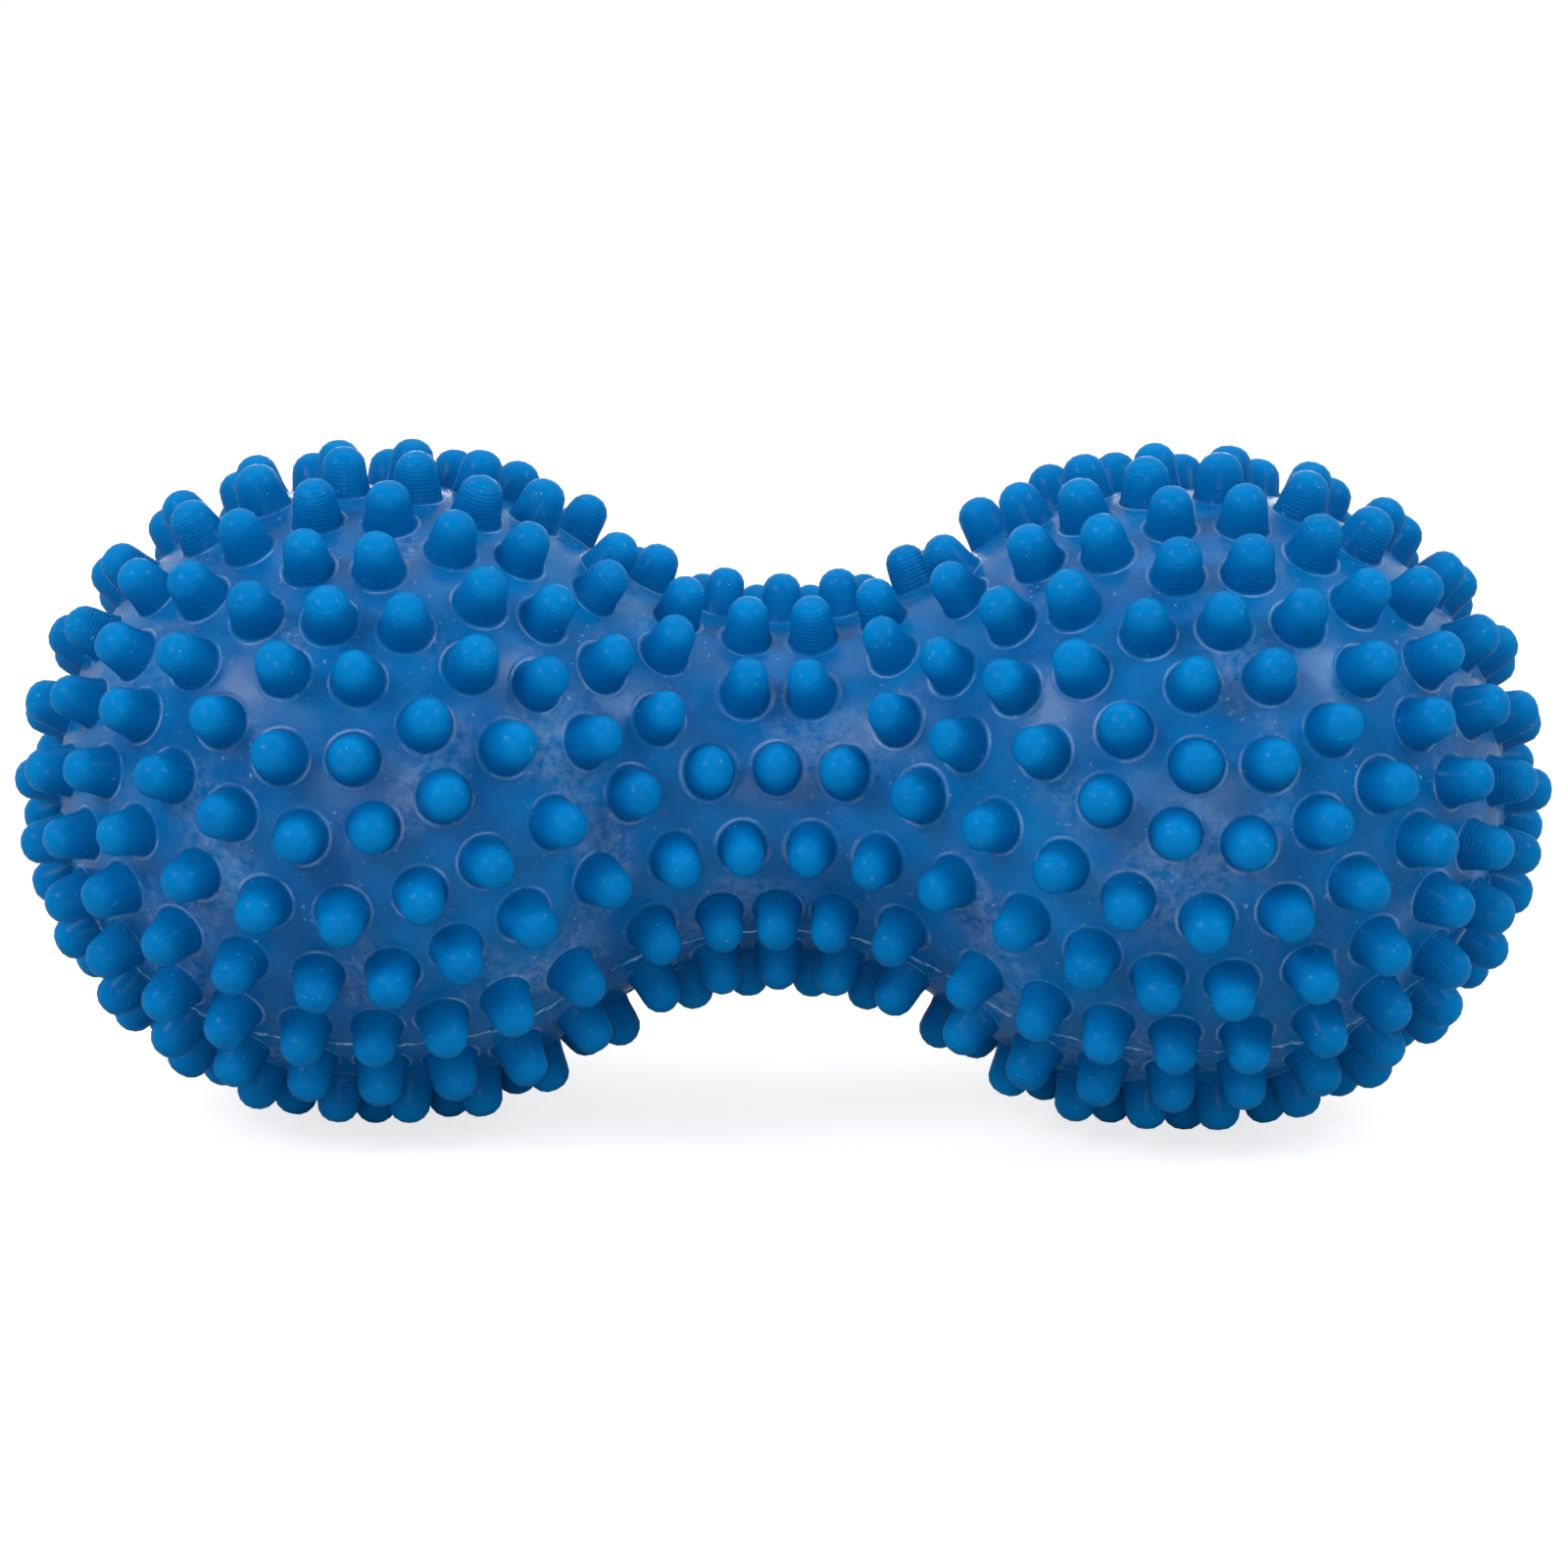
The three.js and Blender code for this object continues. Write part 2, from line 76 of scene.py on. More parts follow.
# The hole through the wall, wider inside it, as (radius, level).
VALVE_HOLE = (
    (0, 21.6), (HOLE_RADIUS + 1.0, 21.6), (HOLE_RADIUS + 1.0, 29.0), (HOLE_RADIUS, 29.0),
    (HOLE_RADIUS, SEAT_LEVEL + 1), (0, SEAT_LEVEL + 1),
)

# ---- The frame's place: the ball's axes in the row frame ----
MOUNTS = {m["name"]: m for m in frame["record"]["mounts"]}
REAR = Vector(MOUNTS["plug_head"]["axis"]).normalized()
LOBE = Vector(MOUNTS["plug_head"]["pos_m"]) - REAR * RIM_LEVEL * MM
POLE = -REAR
ACROSS = POLE.cross(Vector((1, 0, 0)))
MIDDLE = Vector((0, LOBE.y, LOBE.z))
BASIS = np.array([[1, 0, 0], list(ACROSS), list(POLE)], float)
ORIGIN = np.array(MIDDLE, float)


def to_layout(points):
    """Row metres to layout millimetres: X along the ball, Z up its front pole, Y across."""
    return (np.asarray(points, float) - ORIGIN) @ BASIS.T / MM


def to_row(points):
    """Layout millimetres to row metres."""
    return np.asarray(points, float) @ BASIS * MM + ORIGIN


def skin_frame(points):
    """Height above the skin, nearest point of the skin and outward normal, for layout points."""
    p = np.atleast_2d(np.asarray(points, float))
    d = np.abs(p[:, 0])
    away = np.hypot(p[:, 1], p[:, 2])
    # The waist's region is bounded by the line from its arc's centre through the tangent point.
    top = WAIST_RADIUS + WAIST_ARC
    waist = d * top < INNER_CENTRE * (top - away)
    cx = np.clip(d, INNER_CENTRE, LOBE_CENTRE)
    cx = np.where(waist, 0.0, cx)
    cr = np.where(waist, top, 0.0)
    size = np.where(waist, WAIST_ARC, LOBE_RADIUS)
    along, out = d - cx, away - cr
    length = np.maximum(np.hypot(along, out), 1e-9)
    height = np.where(waist, size - length, length - size)
    flip = np.where(waist, -1.0, 1.0)
    side = np.where(p[:, 0] < 0, -1.0, 1.0)
    nx, nr = flip * along / length, flip * out / length
    safe = np.maximum(away, 1e-9)
    normal = np.stack([nx * side, nr * p[:, 1] / safe, nr * p[:, 2] / safe], 1)
    return height, p - height[:, None] * normal, normal


# ---------- Reading the nubs from the frame ----------

# Heights above the skin, in millimetres, that tell the CAD nub's corners apart.
TIP_FROM = NUB_HEIGHT - 0.6
SHOULDER_SPAN = (2.5, 3.7)
FOOT_SPAN = 0.2
# The bare patch's ring in the CAD shell: within this height of the skin, this far from the patch's middle.
BARE_SPAN = 0.02
BARE_REACH = (4.85, 6.0)
WELD = 2e-6  # metres


def welded(node):
    """A node's vertices in layout millimetres, with coincident ones merged, and its triangles."""
    bm = bmesh.new()
    bm.from_mesh(frame["nodes"][node].data)
    bmesh.ops.remove_doubles(bm, verts=bm.verts, dist=WELD)
    bmesh.ops.triangulate(bm, faces=bm.faces)
    bm.verts.index_update()
    points = to_layout([v.co[:] for v in bm.verts])
    faces = [[v.index for v in f.verts] for f in bm.faces]
    links = [[e.other_vert(v).index for e in v.link_edges] for v in bm.verts]
    bm.free()
    return points, faces, links


def read_nubs():
    """Every nub's foot and axis, the bare patch's number, and the corners where three feet meet."""
    points, faces, links = welded("shell")
    height, _, _ = skin_frame(points)
    owner = {}
    feet = []
    for apex in np.flatnonzero(height > TIP_FROM):
        rim = [i for i in links[apex] if SHOULDER_SPAN[0] < height[i] < SHOULDER_SPAN[1]]
        axis = points[apex] - points[rim].mean(0)
        axis /= np.linalg.norm(axis)
        for i in rim:
            for j in links[i]:
                if abs(height[j]) < FOOT_SPAN:
                    owner[j] = len(feet)
        feet.append((points[apex] - NUB_HEIGHT * axis, axis))
    bare = len(feet)
    feet.append((np.array([LOBE_CENTRE, 0, -LOBE_RADIUS]), np.array([0, 0, -1.0])))
    for f in faces:
        for i in f:
            reach = np.linalg.norm(points[i] - feet[bare][0])
            if i not in owner and abs(height[i]) < BARE_SPAN and BARE_REACH[0] < reach < BARE_REACH[1]:
                owner[i] = bare
    meetings = []
    for f in faces:
        owners = [owner.get(i) for i in f]
        if None not in owners and len(set(owners)) == 3:
            meetings.append((owners, [points[i] for i in f]))
    return feet, bare, meetings


FEET, BARE, MEETINGS = read_nubs()


# ---------- The fine skin ----------

RING = 20  # segments round a nub
BARE_RING = 48  # and round the valve's bare patch
BARE_RADIUS = 5.35
NUB_RADIUS = 2.86
NECK, SHOULDER = 0.845, 0.56  # where the dome starts: shares of the base radius and of the height
DOME_TURNS = (24, 46, 68)  # degrees
WAIST_SLIM = 0.89  # a waist nub's width along the ball, as a share of its width across
SLIM_FROM, SLIM_SPAN = 12, 18  # where the nubs start to fill out, and over what distance
CLEARANCE = 0.18  # the least skin left on each side of a nub
SKIRT = 0.62  # the skin round a nub that belongs to its ring
WELT = 0.05  # marks the low welt round a nub's base among the heights up the nub
WELT_RINGS = ((0.66, 0.07), (0.45, 0.09))  # share of the skirt, and height above the skin
# The valve seat's edge: radius, and height against the skin, or None on the seat's floor.
SEAT_EDGE = (
    (SEAT_RADIUS + 0.25, 0.0),
    (SEAT_RADIUS + 0.06, -0.04),
    (SEAT_RADIUS, -0.14),
    (SEAT_RADIUS - 0.05, None),
    (2.0, None),
)
RNG = np.random.default_rng(11)


def polar(axis):
    """Two directions at right angles to an axis and to each other."""
    helper = np.array([0, 0, 1.0]) if abs(axis[2]) < 0.9 else np.array([1.0, 0, 0])
    e1 = np.cross(helper, axis)
    e1 /= np.linalg.norm(e1)
    return e1, np.cross(axis, e1)


def nub_profile(base, tall, blunt):
    """A nub's rings from the skin inwards: radius, height, and whether the ring follows the skin."""
    neck = base * NECK
    shoulder = tall * SHOULDER
    rings = [
        (base + 0.1, 0.0, True),
        (base, 0.2, False),
        (base * 0.91, tall * 0.26, False),
        (neck, shoulder, False),
    ]
    for turn in DOME_TURNS:
        a = math.radians(turn)
        rings.append((neck * math.cos(a) ** blunt, shoulder + (tall - shoulder) * math.sin(a), False))
    return rings


class Weaver:
    """Collects vertices and triangles, with each vertex's height up its nub."""

    def __init__(self):
        self.points, self.lifts, self.faces = [], [], []

    def ring(self, points, lift):
        start = len(self.points)
        self.points.extend(points)
        self.lifts.extend([lift] * len(points))
        return list(range(start, start + len(points)))

    def band(self, outer, inner):
        n = len(outer)
        for i in range(n):
            a, b, c, d = outer[i], outer[(i + 1) % n], inner[(i + 1) % n], inner[i]
            self.faces += [(a, b, c), (a, c, d)]

    def cap(self, ring, point, lift):
        top = self.ring([point], lift)[0]
        n = len(ring)
        self.faces += [(ring[i], ring[(i + 1) % n], top) for i in range(n)]

    def gap(self, a, b):
        return float(np.linalg.norm(self.points[a] - self.points[b]))

    def zip(self, left, right):
        """Joins two open runs of corners that go the same way, the first on the left."""
        i = j = 0
        while i < len(left) - 1 or j < len(right) - 1:
            step_left = self.gap(left[i + 1], right[j]) if i < len(left) - 1 else math.inf
            step_right = self.gap(left[i], right[j + 1]) if j < len(right) - 1 else math.inf
            if step_left < step_right:
                self.faces.append((left[i], right[j], left[i + 1]))
                i += 1
            else:
                self.faces.append((left[i], right[j], right[j + 1]))
                j += 1


def around(foot, frame2, radius, count):
    """A ring of points about a foot, in the plane of two directions."""
    e1, e2 = frame2
    turn = 2 * np.pi * np.arange(count) / count
    return foot + radius * (np.cos(turn)[:, None] * e1 + np.sin(turn)[:, None] * e2)


def squeeze(points, foot, axis, share):
    """Narrows a nub's ring along the ball's long axis."""
    long = np.array([1.0, 0, 0]) - axis[0] * axis
    length = np.linalg.norm(long)
    if length < 1e-6:
        return points
    long /= length
    return points - (1 - share) * ((points - foot) @ long)[:, None] * long


def on_skin(points, lift=0.0):
    """Points moved onto the skin, or to a height above it."""
    _, nearest, normal = skin_frame(points)
    return nearest + lift * normal


def weave_bare_patch(w, foot, frame2):
    """The patch without a nub, with the valve's seat sunk into it. Gives its outer ring."""
    outer = ring = w.ring(on_skin(around(foot, frame2, BARE_RADIUS, BARE_RING)), 0)
    for radius, level in SEAT_EDGE:
        pts = around(foot, frame2, radius, BARE_RING)
        if level is None:
            pts[:, 2] = -SEAT_LEVEL
        else:
            pts = on_skin(pts, level)
        inner = w.ring(pts, 0)
        w.band(ring, inner)
        ring = inner
    w.cap(ring, np.array([foot[0], foot[1], -SEAT_LEVEL]), 0)
    return outer


def weave_nub(w, foot, axis, near):
    """One nub with its welt and skirt, where near is the distance to the next foot. Gives its outer ring."""
    frame2 = polar(axis)
    lobe = np.clip((abs(foot[0]) - SLIM_FROM) / SLIM_SPAN, 0, 1)
    slim = WAIST_SLIM + (1 - WAIST_SLIM) * lobe
    base = min((NUB_RADIUS - 0.1 * lobe) * (1 + 0.03 * RNG.uniform(-1, 1)), near / 2 - CLEARANCE)
    tall = NUB_HEIGHT * (1 + 0.02 * RNG.uniform(-1, 1))
    blunt = RNG.uniform(0.85, 1.05)
    rim = min(base + SKIRT, near / 2 - 0.03)
    outer = ring = w.ring(on_skin(around(foot, frame2, rim, RING)), 0)
    for share, level in WELT_RINGS:
        pts = squeeze(around(foot, frame2, base + share * (rim - base), RING), foot, axis, (1 + slim) / 2)
        crest = w.ring(on_skin(pts, level), WELT)
        w.band(ring, crest)
        ring = crest
    for radius, height, follows in nub_profile(base, tall, blunt):
        pts = squeeze(around(foot, frame2, radius, RING), foot, axis, slim)
        if follows:
            pts = on_skin(pts, height)
        elif height < 0.5:
            pts = on_skin(pts) + height * axis
        else:
            pts = pts + height * axis
        inner = w.ring(pts, height)
        w.band(ring, inner)
        ring = inner
    w.cap(ring, foot + tall * axis, tall)
    return outer


def join_feet(w, outer):
    """Fills the skin between the outer rings: a triangle where three feet meet, a strip between each two."""
    corner = {}
    for m, (owners, corners) in enumerate(MEETINGS):
        tri = []
        for i, point in zip(owners, corners):
            foot, axis = FEET[i]
            e1, e2 = polar(axis)
            turn = math.atan2((point - foot) @ e2, (point - foot) @ e1)
            n = len(outer[i])
            corner[i, m] = round(turn / (2 * math.pi) * n) % n
            tri.append(outer[i][corner[i, m]])
        w.faces.append(tuple(tri))
    side = {(o[k], o[(k + 1) % 3]): m for m, (o, _) in enumerate(MEETINGS) for k in range(3)}
    for (i, j), left in side.items():
        if i > j or (j, i) not in side:
            continue
        right = side[j, i]
        runs = []
        for foot, first, last in ((i, right, left), (j, left, right)):
            n = len(outer[foot])
            start = corner[foot, first]
            steps = (corner[foot, last] - start) % n
            runs.append([outer[foot][(start + k) % n] for k in range(steps + 1)])
        w.zip(runs[0], runs[1][::-1])


def weave():
    """The outer skin with every nub, as one closed mesh in layout millimetres."""
    w = Weaver()
    feet = np.array([f for f, _ in FEET])
    outer = []
    for i, (foot, axis) in enumerate(FEET):
        if i == BARE:
            outer.append(weave_bare_patch(w, foot, polar(axis)))
            continue
        near = np.partition(np.linalg.norm(feet - foot, axis=1), 1)[1]
        outer.append(weave_nub(w, foot, axis, near))
    join_feet(w, outer)
    return w


def mesh_from(name, points, faces):
    mesh = bpy.data.meshes.new(name)
    mesh.from_pydata([tuple(p) for p in points], [], [tuple(f) for f in faces])
    mesh.validate()
    mesh.update()
    return mesh


def object_from(name, mesh):
    obj = bpy.data.objects.new(name, mesh)
    bpy.context.scene.collection.objects.link(obj)
    return obj


def turned(name, profile, count, place):
    """A closed turned mesh. Profile pairs are (radius, height); place maps its points to layout."""
    points, faces, rings = [], [], []
    for r, h in profile:
        start = len(points)
        n = 1 if r < 1e-9 else count
        for k in range(n):
            a = 2 * math.pi * k / count
            points.append((r * math.cos(a), r * math.sin(a), h))
        rings.append([start + k % n for k in range(count)])
    closed = profile[0] == profile[-1]
    if closed:
        points = points[: rings[-1][0]]
        rings[-1] = rings[0]
    for a, b in zip(rings, rings[1:]):
        for k in range(count):
            n = (k + 1) % count
            quad = [a[k], a[n], b[n], b[k]]
            face = [v for i, v in enumerate(quad) if v not in quad[:i]]
            if len(face) > 2:
                faces.append(face)
    return mesh_from(name, place(np.array(points)), faces)


def skin_profile(offset, steps):
    """Half profile of the body grown by an offset, end to end, as (radius, distance along the axis)."""
    out = []
    bend = math.asin(TANGENT_X / WAIST_ARC)
    top = WAIST_RADIUS + WAIST_ARC
    lobe, waist = LOBE_RADIUS + offset, WAIST_ARC - offset
    arcs = (
        (-LOBE_CENTRE, 0, lobe, math.pi, math.pi / 2, steps),
        (-INNER_CENTRE, 0, lobe, math.pi / 2, math.pi / 2 - bend, steps // 2),
        (0, top, waist, -math.pi / 2 - bend, -math.pi / 2 + bend, steps),
        (INNER_CENTRE, 0, lobe, math.pi / 2 + bend, math.pi / 2, steps // 2),
        (LOBE_CENTRE, 0, lobe, math.pi / 2, 0, steps),
    )
    for x, r, size, start, end, n in arcs:
        for k in range(n + 1):
            a = start + (end - start) * k / n
            point = (max(0.0, r + size * math.sin(a)), x + size * math.cos(a))
            if not out or math.dist(out[-1], point) > 0.05:
                out.append(point)
    out[0], out[-1] = (0, out[0][1]), (0, out[-1][1])
    return out


def lengthwise(p):
    """A shape turned about +Z, laid along the ball's long axis."""
    return np.stack([p[:, 2], p[:, 0], p[:, 1]], 1)


def rearwards(p):
    """A shape turned about +Z, put on the valve's axis."""
    return np.stack([LOBE_CENTRE + p[:, 0], -p[:, 1], -p[:, 2]], 1)


def cut(obj, mesh):
    """Takes a closed mesh away from an object."""
    tool = object_from("tool", mesh)
    mod = obj.modifiers.new("cut", "BOOLEAN")
    mod.operation, mod.object, mod.solver = "DIFFERENCE", tool, "MANIFOLD"
    done = bpy.data.meshes.new_from_object(obj.evaluated_get(bpy.context.evaluated_depsgraph_get()))
    obj.modifiers.clear()
    obj.data = done
    bpy.data.objects.remove(tool)


def outward(mesh):
    """Turns a closed mesh's faces outwards."""
    bm = bmesh.new()
    bm.from_mesh(mesh)
    bmesh.ops.recalc_face_normals(bm, faces=bm.faces)
    bm.to_mesh(mesh)
    bm.free()
    return mesh


def make_shell():
    w = weave()
    shell = object_from("shell_skin", mesh_from("shell_skin", w.points, w.faces))
    cut(shell, outward(turned("hollow", skin_profile(-WALL, 14), 56, lengthwise)))
    cut(shell, outward(turned("hole", VALVE_HOLE, 64, rearwards)))
    return shell, w


shell, woven = make_shell()
SAME_PLACE = 1e-3  # millimetres


def keep_woven_facts(mesh, w):
    """Gives each vertex its height up its nub, and returns the skin's own normals for the bare skin."""
    tree = KDTree(len(w.points))
    for i, p in enumerate(w.points):
        tree.insert(p, i)
    tree.balance()
    lifts = np.zeros(len(mesh.vertices))
    co = np.array([v.co[:] for v in mesh.vertices])
    for i, p in enumerate(co):
        _, k, distance = tree.find(p)
        lifts[i] = w.lifts[k] if distance < SAME_PLACE else -1.0
    height, _, normal = skin_frame(co)
    bare = (np.abs(height) < 2 * SAME_PLACE) & (lifts == 0)
    normals = np.where(bare[:, None], normal, 0.0)
    layer = mesh.attributes.new("nub_lift", "FLOAT", "POINT")
    layer.data.foreach_set("value", lifts.astype(np.float32))
    return normals


def settle(obj, normals=None):
    """Moves a layout mesh into the row frame, in metres."""
    mesh = obj.data
    co = np.array([v.co[:] for v in mesh.vertices])
    mesh.vertices.foreach_set("co", to_row(co).astype(np.float32).ravel())
    mesh.update()
    for polygon in mesh.polygons:
        polygon.use_smooth = True
    if normals is not None:
        mesh.normals_split_custom_set_from_vertices([tuple(n) for n in normals @ BASIS])
    return obj


# ---------- Materials ----------


class Nodes:
    """A small helper for node materials. Inputs may be numbers, colours or other nodes' outputs."""

    def __init__(self, name):
        self.material = bpy.data.materials.new(name)
        self.material.use_nodes = True
        self.tree = self.material.node_tree
        self.bsdf = self.tree.nodes["Principled BSDF"]

    def add(self, kind, inputs=None, **settings):
        node = self.tree.nodes.new(kind)
        for key, value in settings.items():
            setattr(node, key, value)
        for key, value in (inputs or {}).items():
            self.put(node.inputs[key], value)
        return node

    def put(self, socket, value):
        if isinstance(value, bpy.types.NodeSocket):
            self.tree.links.new(value, socket)
        else:
            socket.default_value = value

    def surface(self, **values):
        for key, value in values.items():
            self.put(self.bsdf.inputs[key.replace("_", " ")], value)

    def noise(self, scale, detail=3.0, roughness=0.5, vector=None):
        node = self.add("ShaderNodeTexNoise", {"Scale": scale, "Detail": detail, "Roughness": roughness})
        self.put(node.inputs["Vector"], vector or self.place)
        return node.outputs["Fac"]

    @property
    def place(self):
        if not hasattr(self, "_place"):
            self._place = self.add("ShaderNodeTexCoord").outputs["Object"]
        return self._place

    def spread(self, value, low, high, to_low=0.0, to_high=1.0):
        span = {"Value": value, "From Min": low, "From Max": high, "To Min": to_low, "To Max": to_high}
        return self.add("ShaderNodeMapRange", span, clamp=True).outputs["Result"]

    def math(self, operation, a, b=0.0):
        node = self.add("ShaderNodeMath", operation=operation)
        self.put(node.inputs[0], a)
        self.put(node.inputs[1], b)
        return node.outputs[0]

    def blend(self, factor, a, b):
        node = self.add("ShaderNodeMix", data_type="RGBA")
        self.put(node.inputs[0], factor)
        self.put(node.inputs[6], (*a, 1) if isinstance(a, tuple) else a)
        self.put(node.inputs[7], (*b, 1) if isinstance(b, tuple) else b)
        return node.outputs[2]

    def bump(self, height, strength, distance, normal=None):
        node = self.add("ShaderNodeBump", {"Strength": strength, "Distance": distance, "Height": height})
        if normal is not None:
            self.put(node.inputs["Normal"], normal)
        return node.outputs["Normal"]


class WorldNodes(Nodes):
    """The same helper for a world's shader."""

    def __init__(self, name):
        self.world = bpy.data.worlds.new(name)
        self.world.use_nodes = True
        self.tree = self.world.node_tree


def nub_material():
    n = Nodes("pvc_nub")
    lift = n.add("ShaderNodeAttribute", attribute_name="nub_lift").outputs["Fac"]
    cloudy = n.spread(n.noise(160, 3), 0.35, 0.65)
    body = n.blend(cloudy, (0.0, 0.166, 0.455), (0.0, 0.203, 0.53))
    # Painted shade: each nub darkens towards its base, where the skin and its neighbours would shade it.
    low = n.math("SUBTRACT", 1.0, n.spread(lift, 0.0, 4.3))
    colour = n.blend(n.math("MULTIPLY", low, 0.78), body, (0.0, 0.08, 0.28))
    grain = n.noise(5200, 4, 0.6)
    ribbed = n.spread(n.noise(90, 2), 0.5, 0.62)
    rings = n.math("MULTIPLY", n.math("SINE", n.math("MULTIPLY", lift, 15.0)), ribbed)
    speckle = n.spread(n.noise(1500, 2), 0.62, 0.72)
    lint = n.spread(n.noise(2300, 1, 0.3), 0.76, 0.79)
    colour = n.blend(n.math("MULTIPLY", lint, 0.5), colour, (0.16, 0.36, 0.62))
    n.surface(
        Base_Color=colour,
        Roughness=n.spread(n.noise(700, 3), 0.3, 0.7, 0.3, 0.42),
        IOR=1.5,
        Specular_IOR_Level=0.02,
        Subsurface_Weight=0.3,
        Subsurface_Radius=(0.25, 0.6, 1.0),
        Subsurface_Scale=0.0012,
        Coat_Weight=0.045,
        Coat_Roughness=0.08,
    )
    normal = n.bump(rings, 0.3, 0.00007)
    normal = n.bump(grain, 0.12, 0.00006, normal)
    n.surface(Normal=n.bump(speckle, 0.25, 0.0001, normal))
    return n.material


def skin_material():
    n = Nodes("pvc_skin")
    drift = n.spread(n.noise(60, 4, 0.6), 0.36, 0.64)
    cloud = n.spread(n.noise(210, 5, 0.65), 0.46, 0.7)
    colour = n.blend(drift, (0.0, 0.103, 0.335), (0.0, 0.168, 0.46))
    colour = n.blend(n.math("MULTIPLY", cloud, 0.4), colour, (0.012, 0.115, 0.31))
    lift = n.add("ShaderNodeAttribute", attribute_name="nub_lift").outputs["Fac"]
    # Painted reflection: the welt round each nub's base is lightened in broken patches, standing in for the
    # soft light its hollow mirrors.
    welt = n.spread(lift, 0.25 * WELT, WELT)
    painted_welt_glint = n.spread(n.noise(260, 2), 0.46, 0.66, 0.03, 0.5)
    colour = n.blend(n.math("MULTIPLY", welt, painted_welt_glint), colour, (0.25, 0.40, 0.66))
    patch = n.spread(n.noise(75, 2, 0.5), 0.53, 0.67)
    scuff = n.math("MULTIPLY", patch, n.spread(n.noise(800, 6, 0.7), 0.4, 0.64))
    colour = n.blend(n.math("MULTIPLY", scuff, 0.45), colour, (0.22, 0.35, 0.56))
    dust = n.spread(n.noise(1700, 2, 0.4), 0.70, 0.76)
    colour = n.blend(n.math("MULTIPLY", dust, 0.5), colour, (0.3, 0.42, 0.6))
    pits = n.spread(n.noise(950, 3, 0.5), 0.70, 0.76)
    colour = n.blend(n.math("MULTIPLY", pits, 0.5), colour, (0.0, 0.05, 0.17))
    n.surface(
        Base_Color=colour,
        Roughness=n.spread(n.noise(190, 5, 0.6), 0.35, 0.65, 0.15, 0.38),
        IOR=1.52,
        Specular_IOR_Level=0.15,
        Subsurface_Weight=0.4,
        Subsurface_Radius=(0.2, 0.6, 1.0),
        Subsurface_Scale=0.0016,
    )
    normal = n.bump(n.noise(450, 4, 0.55), 0.16, 0.0002)
    n.surface(Normal=n.bump(n.noise(3600, 3), 0.1, 0.00005, normal))
    return n.material


def flash_material():
    n = Nodes("pvc_flash")
    # Painted highlight: the fin's blue is mixed in noisy patches with a paler blue that stands in for the
    # glints along its ragged edge.
    n.surface(
        Base_Color=n.blend(n.spread(n.noise(800, 3), 0.4, 0.6), (0.01, 0.14, 0.36), (0.2, 0.4, 0.62)),
        Roughness=0.3,
        IOR=1.5,
        Subsurface_Weight=0.5,
        Subsurface_Radius=(0.3, 0.6, 1.0),
        Subsurface_Scale=0.0006,
        Normal=n.bump(n.noise(2500, 3), 0.3, 0.0001),
    )
    return n.material


def plain_pvc(name, dark, light, rough):
    n = Nodes(name)
    n.surface(
        Base_Color=n.blend(n.spread(n.noise(300, 4), 0.35, 0.65), dark, light),
        Roughness=n.spread(n.noise(900, 3), 0.3, 0.7, rough - 0.06, rough + 0.08),
        IOR=1.5,
        Subsurface_Weight=0.3,
        Subsurface_Radius=(0.5, 0.7, 1.0),
        Subsurface_Scale=0.0008,
        Normal=n.bump(n.noise(3200, 3), 0.14, 0.00008),
    )
    return n.material


# ---------- Pieces ----------

normals = keep_woven_facts(shell.data, woven)
settle(shell, normals)
shell.data.materials.clear()
shell.data.materials.append(skin_material())
shell.data.materials.append(nub_material())
lift_of = np.zeros(len(shell.data.vertices), np.float32)
shell.data.attributes["nub_lift"].data.foreach_get("value", lift_of)
for polygon in shell.data.polygons:
    polygon.material_index = int(max(lift_of[i] for i in polygon.vertices) > 2 * WELT)
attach(shell, "ball")
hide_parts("shell")


# The flash's waves along its length, in millimetres, and how much each adds to its height.
FLASH_WAVES = ((2.1, 0.35), (0.83, 0.3), (5.3, 0.45), (0.37, 0.2))
# The flash's section: height, and side in half thicknesses. The base sits below the skin.
FLASH_SECTION = ((-0.3, -1), (0.0, -1), (1.0, -0.35), (1.0, 0.35), (0.0, 1), (-0.3, 1))


def flash_mesh():
    """The ragged fin that the mould's parting plane leaves round the whole ball."""
    half = skin_profile(0.0, 90)
    loop = [(x, r) for r, x in half] + [(x, -r) for r, x in half[-2:0:-1]]
    loop = np.array([(x, y, 0.0) for x, y in loop])
    count = len(loop)
    step = np.linalg.norm(np.roll(loop, -1, 0) - loop, axis=1)
    along = np.cumsum(step)
    tall = np.zeros(count)
    for wave, weight in FLASH_WAVES:
        tall += weight * np.sin(2 * np.pi * along / wave + RNG.uniform(0, 6.28))
    tall = 0.1 + 0.22 * np.clip(tall, -0.6, 1.0) + 0.08 * RNG.random(count)
    tall = np.clip(tall, 0.02, 0.36)
    drift = 0.18 * np.sin(2 * np.pi * along / 31.0) + 0.05 * RNG.normal(size=count)
    _, nearest, normal = skin_frame(loop)
    up = np.array([0, 0, 1.0])
    rows = []
    for height, side in FLASH_SECTION:
        lift = np.where(height > 0, tall, height)
        thick = 0.13 if height <= 0 else 0.05
        rows.append(nearest + lift[:, None] * normal + (side * thick + drift)[:, None] * up)
    points = np.concatenate(rows)
    faces = []
    for a in range(len(rows)):
        b = (a + 1) % len(rows)
        for i in range(count):
            j = (i + 1) % count
            faces.append((a * count + i, a * count + j, b * count + j, b * count + i))
    return outward(mesh_from("parting_flash", points, faces))


flash = settle(object_from("parting_flash", flash_mesh()))
flash.data.materials.append(flash_material())
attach(flash, "ball")

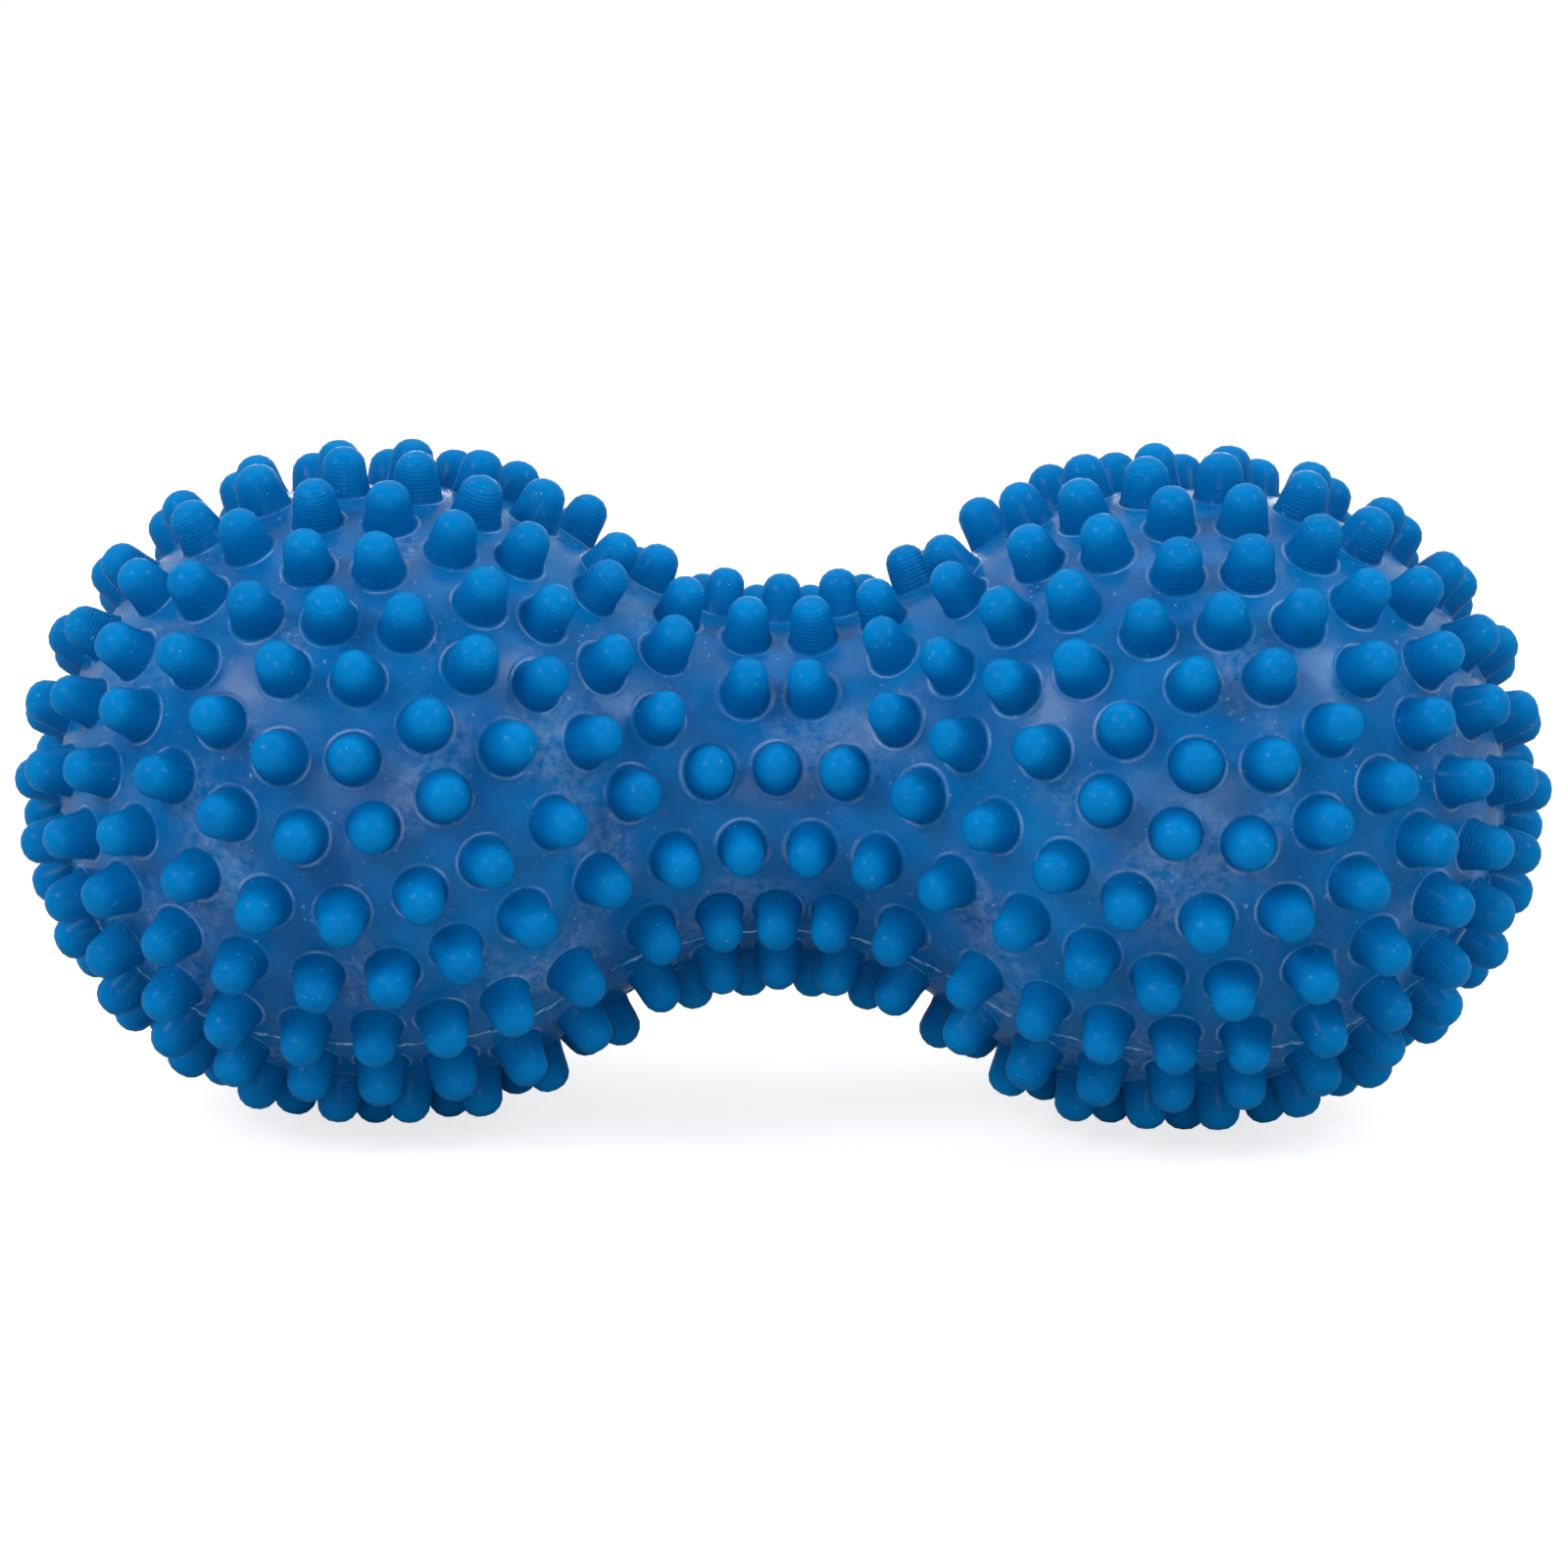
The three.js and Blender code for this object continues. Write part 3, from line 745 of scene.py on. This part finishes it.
# The valve's two pieces, as (radius, level) round their axis.
BUSHING = [
    (1.7, 22.1), (2.5, 22.1), (2.7, 22.22), (4.1, 27.35), (4.2, 27.5), (4.2, 28.62), (4.12, 28.7),
    (3.38, 28.7), (3.3, 28.8), (3.3, 31.6), (4.2, 31.6), (4.3, 31.68), (4.3, 32.4), (4.22, 32.6),
    (4.02, 32.7), (3.62, 32.7), (3.56, 32.64), (3.48, 32.64), (3.42, 32.7), (3.0, 32.7), (2.9, 32.62),
    (2.9, 31.46), (2.84, 31.4), (1.8, 31.4), (1.7, 31.3), (1.7, 22.1),
]
PLUG = [
    (0, 23.8), (0.7, 23.8), (0.85, 23.88), (1.36, 24.9), (1.4, 25.1), (1.4, 26.8), (1.32, 26.9),
    (1.32, 27.3), (1.4, 27.4), (1.4, 31.6), (1.45, 31.7), (2.5, 31.7), (2.6, 31.8), (2.6, 32.46),
    (2.52, 32.63), (2.35, 32.7), (1.45, 32.7), (1.3, 32.66), (1.1, 32.5), (0.6, 32.44), (0, 32.42),
]
BLUE_PVC = plain_pvc("pvc_bushing", (0.02, 0.12, 0.32), (0.03, 0.16, 0.38), 0.5)
GREY_PVC = plain_pvc("pvc_plug", (0.6, 0.63, 0.66), (0.72, 0.74, 0.76), 0.45)
for name, profile, body, material in (
    ("valve_bushing_fine", BUSHING, "ball", BLUE_PVC),
    ("valve_plug_fine", PLUG, "plug", GREY_PVC),
):
    piece = settle(object_from(name, outward(turned(name, profile, 72, rearwards))))
    piece.data.materials.append(material)
    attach(piece, body)
    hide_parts(name.removesuffix("_fine"))

# ---------- Stage, light and camera ----------

CENTRE = (CAD_BOX[0] + CAD_BOX[1]) / 2
AMBIENT = 0.5  # the backdrop's strength as light; the camera sees it at 1
MIRRORED = (0.06, 0.8)  # its strength in reflections, from in front and from behind
FLOOR_HALF = 6


def stage():
    """A pale floor and a white backdrop, which the ball mirrors bright from behind and dim from in front."""
    corners = [(x * FLOOR_HALF, y * FLOOR_HALF, 0) for x, y in ((-1, -1), (1, -1), (1, 1), (-1, 1))]
    floor = object_from("floor", mesh_from("floor", corners, [(0, 1, 2, 3)]))
    n = Nodes("pale_floor")
    seen = n.add("ShaderNodeLightPath").outputs["Is Camera Ray"]
    n.surface(
        Base_Color=(0.5, 0.5, 0.5, 1),
        Roughness=0.8,
        Specular_IOR_Level=0.1,
        Emission_Color=(1, 1, 1, 1),
        Emission_Strength=n.math("MULTIPLY", seen, 0.75),
    )
    floor.data.materials.append(n.material)
    n = WorldNodes("studio")
    rays = n.add("ShaderNodeLightPath").outputs
    facing = n.add("ShaderNodeSeparateXYZ", {"Vector": n.add("ShaderNodeTexCoord").outputs["Generated"]})
    in_front, behind = (strength - AMBIENT for strength in MIRRORED)
    mirrored = n.spread(facing.outputs["Y"], -0.2, 0.55, in_front, behind)
    strength = n.math("ADD", AMBIENT, n.math("MULTIPLY", rays["Is Camera Ray"], 1.0 - AMBIENT))
    strength = n.math("ADD", strength, n.math("MULTIPLY", rays["Is Glossy Ray"], mirrored))
    backdrop = n.tree.nodes["Background"]
    n.put(backdrop.inputs["Color"], (1, 1, 1, 1))
    n.put(backdrop.inputs["Strength"], strength)
    bpy.context.scene.world = n.world


def soft_light(name, place, size, power):
    """An area light at a place against the ball's middle, turned towards it."""
    data = bpy.data.lights.new(name, "AREA")
    data.shape, data.size, data.size_y = "RECTANGLE", size[0], size[1]
    data.energy = power
    light = bpy.data.objects.new(name, data)
    light.location = CENTRE + Vector(place)
    light.rotation_euler = (-Vector(place)).to_track_quat("-Z", "Y").to_euler()
    bpy.context.scene.collection.objects.link(light)


VIEW_TILT = 31.2  # degrees from the view axis up to the front pole
AZIMUTH = 1.3
ROLL = 0.17
DISTANCE = 0.526
LENS, SENSOR = 112, 36
OFFSET = 0.0019  # the ball stands a little left of the picture's middle


def camera():
    data = bpy.data.cameras.new("camera")
    data.lens, data.sensor_width, data.shift_x = LENS, SENSOR, OFFSET
    cam = bpy.data.objects.new("camera", data)
    elevation = math.asin(POLE.z) - math.radians(VIEW_TILT)
    a = math.radians(AZIMUTH)
    level = math.cos(elevation)
    back = Vector((math.sin(a) * level, -math.cos(a) * level, math.sin(elevation)))
    cam.location = CENTRE + back * DISTANCE
    roll = Quaternion((0, 0, 1), math.radians(ROLL))
    cam.rotation_euler = (back.to_track_quat("Z", "Y") @ roll).to_euler()
    bpy.context.scene.collection.objects.link(cam)
    bpy.context.scene.camera = cam


stage()
soft_light("key_left", (-0.6, -0.5, 0.6), (0.34, 0.3), 3.6)
soft_light("key_right", (0.65, -0.3, 0.65), (0.3, 0.3), 2.6)
soft_light("overhead", (0.0, 0.2, 1.1), (1.0, 0.6), 3.0)
soft_light("front_fill", (0.0, -1.1, 0.15), (0.5, 0.3), 2.1)
soft_light("back_fill", (0.0, 1.1, 0.25), (0.6, 0.3), 1.5)
soft_light("glint_left", (-0.35, -0.8, 0.55), (0.03, 0.03), 0.35)
soft_light("glint_right", (0.4, -0.75, 0.6), (0.03, 0.03), 0.25)
camera()
bpy.context.scene.view_settings.view_transform = "Standard"
